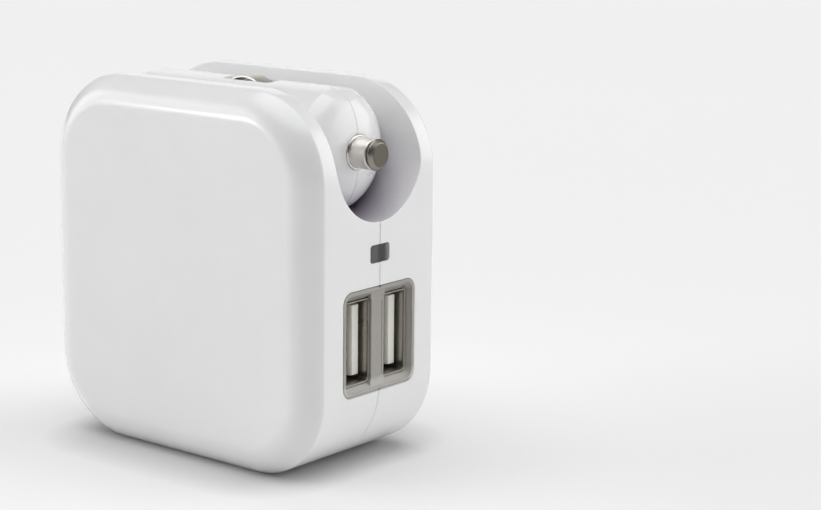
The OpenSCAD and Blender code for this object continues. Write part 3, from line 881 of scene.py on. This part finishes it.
def plug_half(name, side):
    """Half of the plug, with its trunnion, the lead's hole and half of both contacts' slots."""
    start = 180 if side < 0 else 0
    half = lathe("plug", plug_profile(), (0, 0, PLUG_Z), steps=64, start=start, sweep=180,
                 closed=True)
    ends = sorted((side * 7.2, side * (CHANNEL_R + 1.4)))
    add(half, rod("y", TRUNNION_R, *ends, (hinge.x, PLUG_Z)))
    bore = sorted((side * 6.0, side * 20))
    tools = [rod("y", LEAD_HOLE_R, *bore, (hinge.x, PLUG_Z), 32)]
    slot = outline(CONTACT_SLOT_L, CONTACT_SLOT_W, 0.7)
    for z0, z1 in ((PLUG_Z + 7, PLUG_Z + 11), (PLUG_Z - 11, PLUG_Z - 7)):
        tools.append(prism(slot, "z", z0, z1, (CONTACT_SLOT_X, 0)))
    cut(half, *tools)
    keep(half, prism(outline(2 * HALF_W - 0.1, HEIGHT - 0.1, CORNER_R - 0.05, CORNER_STEPS), "y",
                     -30, 30, (0, MID_Z)))
    piece(half, "plug_half_" + name, "car_plug", f"plug_{name}_half",
          white_plug, edge=0.12)


plug_half("front", -1)
plug_half("rear", 1)


def pin():
    """A shank with a flange behind, a groove, and a domed cap with a flat end disc."""
    tip = pin_high.x
    back = pin_low.x
    step = back + PIN_FLANGE_T
    line = [(back, 0), (back, PIN_FLANGE_R), (step, PIN_FLANGE_R), (step, PIN_R)]
    line += soften([(step, PIN_R), (tip - 1.35, PIN_R), (tip - 1.22, 2.2)], 0.1, 3)[1:]
    line += [(tip - 1.2, GROOVE_R), (tip - 0.98, GROOVE_R)]
    line += soften([(tip - 0.95, 2.25), (tip - 0.85, 2.45), (tip - 0.6, 2.45), (tip - 0.1, 1.95),
                    (tip, 1.72)], 0.2, 4)
    line += [(tip - 0.04, 1.66), (tip - 0.04, 0)]
    body = lathe("pin", line, (0, 0, PLUG_Z))
    piece(body, "pin", "centre_pin", "centre_pin", pin_nickel)


def collar():
    """The fixed metal ring round the pin, nearly flush with the nose."""
    back, face = collar_low.x, collar_high.x
    profile = soften([(back, COLLAR_R), (face - 0.22, COLLAR_R), (face - 0.14, COLLAR_R - 0.1),
                      (face - 0.14, 2.43)], 0.1, 3) + [(back, 2.43)]
    ring = lathe("collar", profile, (0, 0, PLUG_Z), closed=True)
    piece(ring, "nose_ring", "car_plug", "nose_collar", nickel)


def spring():
    """The wire coil behind the pin."""
    low, high, _ = box("tip_spring")
    wire, turns, steps = 0.35, 6, 32
    coil_r = (high.y - low.y) / 2 - wire
    start, end = low.x + wire, high.x - wire
    rings = []
    for i in range(turns * steps + 1):
        a = 2 * math.pi * i / steps
        x = start + (end - start) * i / (turns * steps)
        ring = []
        for u, v in arc(0, 0, wire, 0, 330, 11):
            r = coil_r + u
            ring.append((x + v, r * math.cos(a), PLUG_Z + r * math.sin(a)))
        rings.append(ring)
    coil = piece(loft("spring", rings), "pin_spring", "car_plug", "tip_spring",
                 spring_steel)
    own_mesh(coil)


pin()
collar()
spring()


def sweep(name, path, w, t):
    """A strip of section w (Y) by t along a path in XZ, with rounded edges."""
    edge_r = 0.12
    rings = []
    for i, p in enumerate(path):
        before = Vector(path[max(i - 1, 0)])
        after = Vector(path[min(i + 1, len(path) - 1)])
        along = (after - before).normalized()
        normal = Vector((-along.y, along.x))
        ring = []
        for u, v in outline(w, t, edge_r, 3):
            ring.append((p[0] + normal.x * v, u, p[1] + normal.y * v))
        rings.append(ring)
    return loft(name, rings)


def ground_contact(which, side):
    """A bowed strip in its slot, with a foot turned in at each end."""
    low, high, mid = box("ground_contact_" + which)
    top = max(abs(low.z - PLUG_Z), abs(high.z - PLUG_Z))
    thick = 0.36
    bow_r = 5.13
    bow_z = top - 5.33
    bow = [(bow_r * math.sin(math.radians(a)), bow_z + bow_r * math.cos(math.radians(a)))
           for a in range(-38, 39, 4)]
    foot = soften([(7.15, 7.2), (3.38, 7.2), (3.38, 8.6), bow[-1]], 0.35, 4)
    path = [(-u, v) for u, v in foot[:-1]] + bow + foot[:-1][::-1]
    path = [(u + mid.x, PLUG_Z + side * v) for u, v in path]
    strip = sweep("contact", path, 3.2, thick)
    piece(strip, "side_contact_" + which, "ground_" + which, "ground_contact_" + which,
          contact_nickel)


ground_contact("upper", 1)
ground_contact("lower", -1)


# ---------------------------------------------------------------- mains blades
def carrier():
    """The drum that both blades are fixed in, with grip grooves for a thumb."""
    _, high, _ = box("blade_carrier")
    half = CARRIER_L / 2
    end = high.x
    profile = soften([(-end, 0), (-end, JOURNAL_R), (-half, JOURNAL_R), (-half, DRUM_R),
                      (half, DRUM_R), (half, JOURNAL_R), (end, JOURNAL_R), (end, 0)], 0.2, 3)
    drum = lathe("carrier", profile, (0, blade_axis.y, blade_axis.z))
    for low, high in ((left_low, left_high), (right_low, right_high)):
        cut(drum, cuboid(low.x, high.x, low.y, high.y, blade_axis.z - 5, BLADE_TOP))
    groove_w, groove_pitch, groove_deep = 0.7, 1.6, 0.4
    for i in range(5):
        x = (i - 2) * groove_pitch
        floor_y = blade_axis.y + DRUM_R - groove_deep
        cut(drum, cuboid(x - groove_w / 2, x + groove_w / 2, floor_y, blade_axis.y + 4,
                         blade_axis.z - 4, blade_axis.z + 4))
    piece(drum, "blade_drum", "mains_blades", "blade_carrier",
          white_carrier, edge=0.07)


def blade(which, low, high):
    """A flat blade with a rounded and thinned tip and a hole near it."""
    hole_r, hole_up, thinned = 1.6, 4.2, 1.5
    y = (low.y + high.y) / 2
    half = (high.y - low.y) / 2
    tip = low.z
    pts = [(-half, BLADE_TOP), (-half, tip + 1.9), (-half + 0.35, tip + 0.8),
           (-half + 1.2, tip + 0.12), (-half + 1.8, tip)]
    pts += [(-u, v) for u, v in pts[::-1]]
    plate = prism(pts, "x", low.x, high.x, (y, 0))
    cut(plate, rod("x", hole_r, low.x - 1, high.x + 1, (y, tip + hole_up), 48))
    for side, face in ((-1, low.x), (1, high.x)):
        wedge = prism([(face - side * 0.35, tip - 0.1), (face + side * 0.2, tip - 0.1),
                       (face + side * 0.2, tip + thinned), (face, tip + thinned)],
                      "y", y - 5, y + 5)
        cut(plate, wedge)
    piece(plate, "mains_blade_" + which, "mains_blades", "blade_" + which,
          blade_metal, edge=0.14)


carrier()
blade("left", left_low, left_high)
blade("right", right_low, right_high)


# ---------------------------------------------------------------- parts that stay as CAD
def inner(colour, rough, **more):
    return dict(colour=colour, rough=rough, **more)


INNER = {
    "main_board": inner((0.03, 0.20, 0.09), 0.35, shade=0.2, cloud=400.0),
    "transformer_core": inner((0.07, 0.07, 0.075), 0.55, shade=0.15, grain_depth=8e-6),
    "transformer_bobbin": inner((0.025, 0.025, 0.028), 0.45),
    "transformer_winding": inner((0.72, 0.50, 0.08), 0.35, shade=0.1, stretch=(1, 8, 1)),
    "input_capacitors": inner((0.04, 0.05, 0.08), 0.25, shade=0.1),
    "output_capacitors": inner((0.04, 0.05, 0.08), 0.25, shade=0.1),
    "bridge_rectifier": inner((0.02, 0.02, 0.022), 0.5),
    "fusible_resistor": inner((0.45, 0.36, 0.22), 0.5, shade=0.1),
    "input_choke": inner((0.03, 0.03, 0.03), 0.3),
    "safety_capacitor": inner((0.06, 0.20, 0.55), 0.3, shade=0.06),
    "buck_inductor": inner((0.09, 0.09, 0.095), 0.6, grain_depth=8e-6),
    "controller_chips": inner((0.02, 0.02, 0.022), 0.5, grain_depth=6e-6),
    "body_leads": inner((0.36, 0.04, 0.04), 0.4),
    "plug_leads": inner((0.36, 0.04, 0.04), 0.4),
    "blade_wipers": inner((0.80, 0.60, 0.26), 0.25, Metallic=1.0),
    "fuse_terminal": inner((0.80, 0.60, 0.26), 0.25, Metallic=1.0),
    "ground_ring": inner((0.80, 0.60, 0.26), 0.25, Metallic=1.0),
    "fuse_glass": inner((0.85, 0.92, 0.90), 0.05, shade=0.02, Transmission_Weight=0.9),
    "fuse_caps": inner((0.70, 0.69, 0.67), 0.2, Metallic=1.0),
    "pivot_washers": inner((0.52, 0.52, 0.53), 0.3, Metallic=1.0),
}
for node, finish in INNER.items():
    obj = nodes[node]
    mat = surface("cad_" + node, **finish)
    if not obj.material_slots:
        obj.data.materials.append(mat)
    for holder in obj.material_slots:
        holder.material = mat


# ---------------------------------------------------------------- floor, lights, camera
# In metres: half of the floor, half of the body's foot along each axis, and how far out from the
# foot the painted shadow starts and ends fading
FLOOR_HALF = 3.0
FOOT = (("X", 0.015), ("Y", 0.0125))
FADE = (0.004, 0.014)
FLOOR_CELLS = 12
PAPER = ((0.895, 0.895, 0.895), (0.905, 0.905, 0.905))
# The colour of the painted shadow close round the foot
PAINTED_SHADOW_TONE = (0.66, 0.66, 0.665)


def floor():
    """Plain pale paper, with a painted shadow close round the body's foot."""
    bm = bmesh.new()
    steps = [FLOOR_HALF * (2 * i / FLOOR_CELLS - 1) for i in range(FLOOR_CELLS + 1)]
    grid = [[bm.verts.new((x, y, 0.0)) for y in steps] for x in steps]
    for a, b in zip(grid, grid[1:]):
        for i in range(FLOOR_CELLS):
            bm.faces.new((a[i], a[i + 1], b[i + 1], b[i]))
    obj = new_object("floor", bm)
    g = Graph("floor_paper")
    tone = g.span(g.noise(3.0, 2.0), 0.3, 0.7, 0, 1)
    paper = g.mix(tone, *PAPER)
    away = None
    for axis, reach in FOOT:
        past = g.maths("SUBTRACT", g.maths("ABSOLUTE", g.axis(axis), 0), reach)
        past = g.maths("MAXIMUM", past, 0)
        square = g.maths("MULTIPLY", past, past)
        away = square if away is None else g.maths("ADD", away, square)
    # Painted shadow: 1 close round the foot, fading to 0 further out
    near = g.span(g.maths("SQRT", away, 0), *FADE, 1.0, 0.0)
    g.link(g.mix(near, paper, PAINTED_SHADOW_TONE), g.shader.inputs["Base Color"])
    g.set(Roughness=0.9, Specular_IOR_Level=0.2)
    obj.data.materials.append(g.mat)


# Direction, half angle in degrees and brightness of each patch. SKY is added in every direction,
# and BACKDROP is the brightness that the camera sees behind the floor.
SKY = 0.02
BACKDROP = 0.88
PATCHES = (
    ((0.0, -0.06, 1.0), 33, 2.25),
    ((-0.82, -0.57, 0.16), 26, 2.2),
    ((0.66, 0.73, 0.16), 30, 2.25),
    ((-0.66, 0.73, 0.22), 20, 0.85),
    ((-0.64, -0.76, 0.13), 5, 7.0),
)
# The camera fitted to the photograph. The lens and sensor are in millimetres, and the shift is
# a share of the picture's width.
AZIMUTH = math.radians(41.05)
ELEVATION = math.radians(11.81)
DISTANCE = 331.7 * MM
AIM = Vector((12.21, 0, 32.16)) * MM
SENSOR = 36.0
LENS = 91.925
SHIFT = 0.134592


def studio():
    """Soft light from far away: broad glowing patches, unseen behind an even pale backdrop."""
    world = bpy.data.worlds.new("studio")
    scene.world = world
    world.use_nodes = True
    tree = world.node_tree
    direction = tree.nodes.new("ShaderNodeTexCoord").outputs["Generated"]
    total = None
    for toward, half_angle, glow in PATCHES:
        dot = tree.nodes.new("ShaderNodeVectorMath")
        dot.operation = "DOT_PRODUCT"
        dot.inputs[1].default_value = Vector(toward).normalized()
        tree.links.new(direction, dot.inputs[0])
        fade = tree.nodes.new("ShaderNodeMapRange")
        fade.interpolation_type = "SMOOTHSTEP"
        fade.inputs["From Min"].default_value = math.cos(math.radians(half_angle * 1.3))
        fade.inputs["From Max"].default_value = math.cos(math.radians(half_angle * 0.7))
        fade.inputs["To Min"].default_value = 0.0
        fade.inputs["To Max"].default_value = glow
        tree.links.new(dot.outputs["Value"], fade.inputs["Value"])
        join = tree.nodes.new("ShaderNodeMath")
        join.operation = "ADD"
        join.inputs[1].default_value = SKY
        tree.links.new(fade.outputs["Result"], join.inputs[0])
        if total is not None:
            tree.links.new(total, join.inputs[1])
        total = join.outputs["Value"]
    seen = tree.nodes.new("ShaderNodeMix")
    seen.inputs["B"].default_value = BACKDROP
    tree.links.new(tree.nodes.new("ShaderNodeLightPath").outputs["Is Camera Ray"],
                   seen.inputs["Factor"])
    tree.links.new(total, seen.inputs["A"])
    background = tree.nodes["Background"]
    background.inputs["Color"].default_value = (1, 1, 1, 1)
    tree.links.new(seen.outputs["Result"], background.inputs["Strength"])


def photographer():
    """The camera, from where the photograph was taken."""
    data = bpy.data.cameras.new("camera")
    data.sensor_width = SENSOR
    data.lens = LENS
    data.shift_x = SHIFT
    data.clip_start = 0.01
    camera = bpy.data.objects.new("camera", data)
    scene.collection.objects.link(camera)
    level = math.cos(ELEVATION)
    away = Vector((math.sin(AZIMUTH) * level, -math.cos(AZIMUTH) * level, math.sin(ELEVATION)))
    camera.location = AIM + away * DISTANCE
    camera.rotation_euler = away.to_track_quat("Z", "Y").to_euler()
    scene.camera = camera
    scene.view_settings.view_transform = "Standard"


floor()
studio()
photographer()
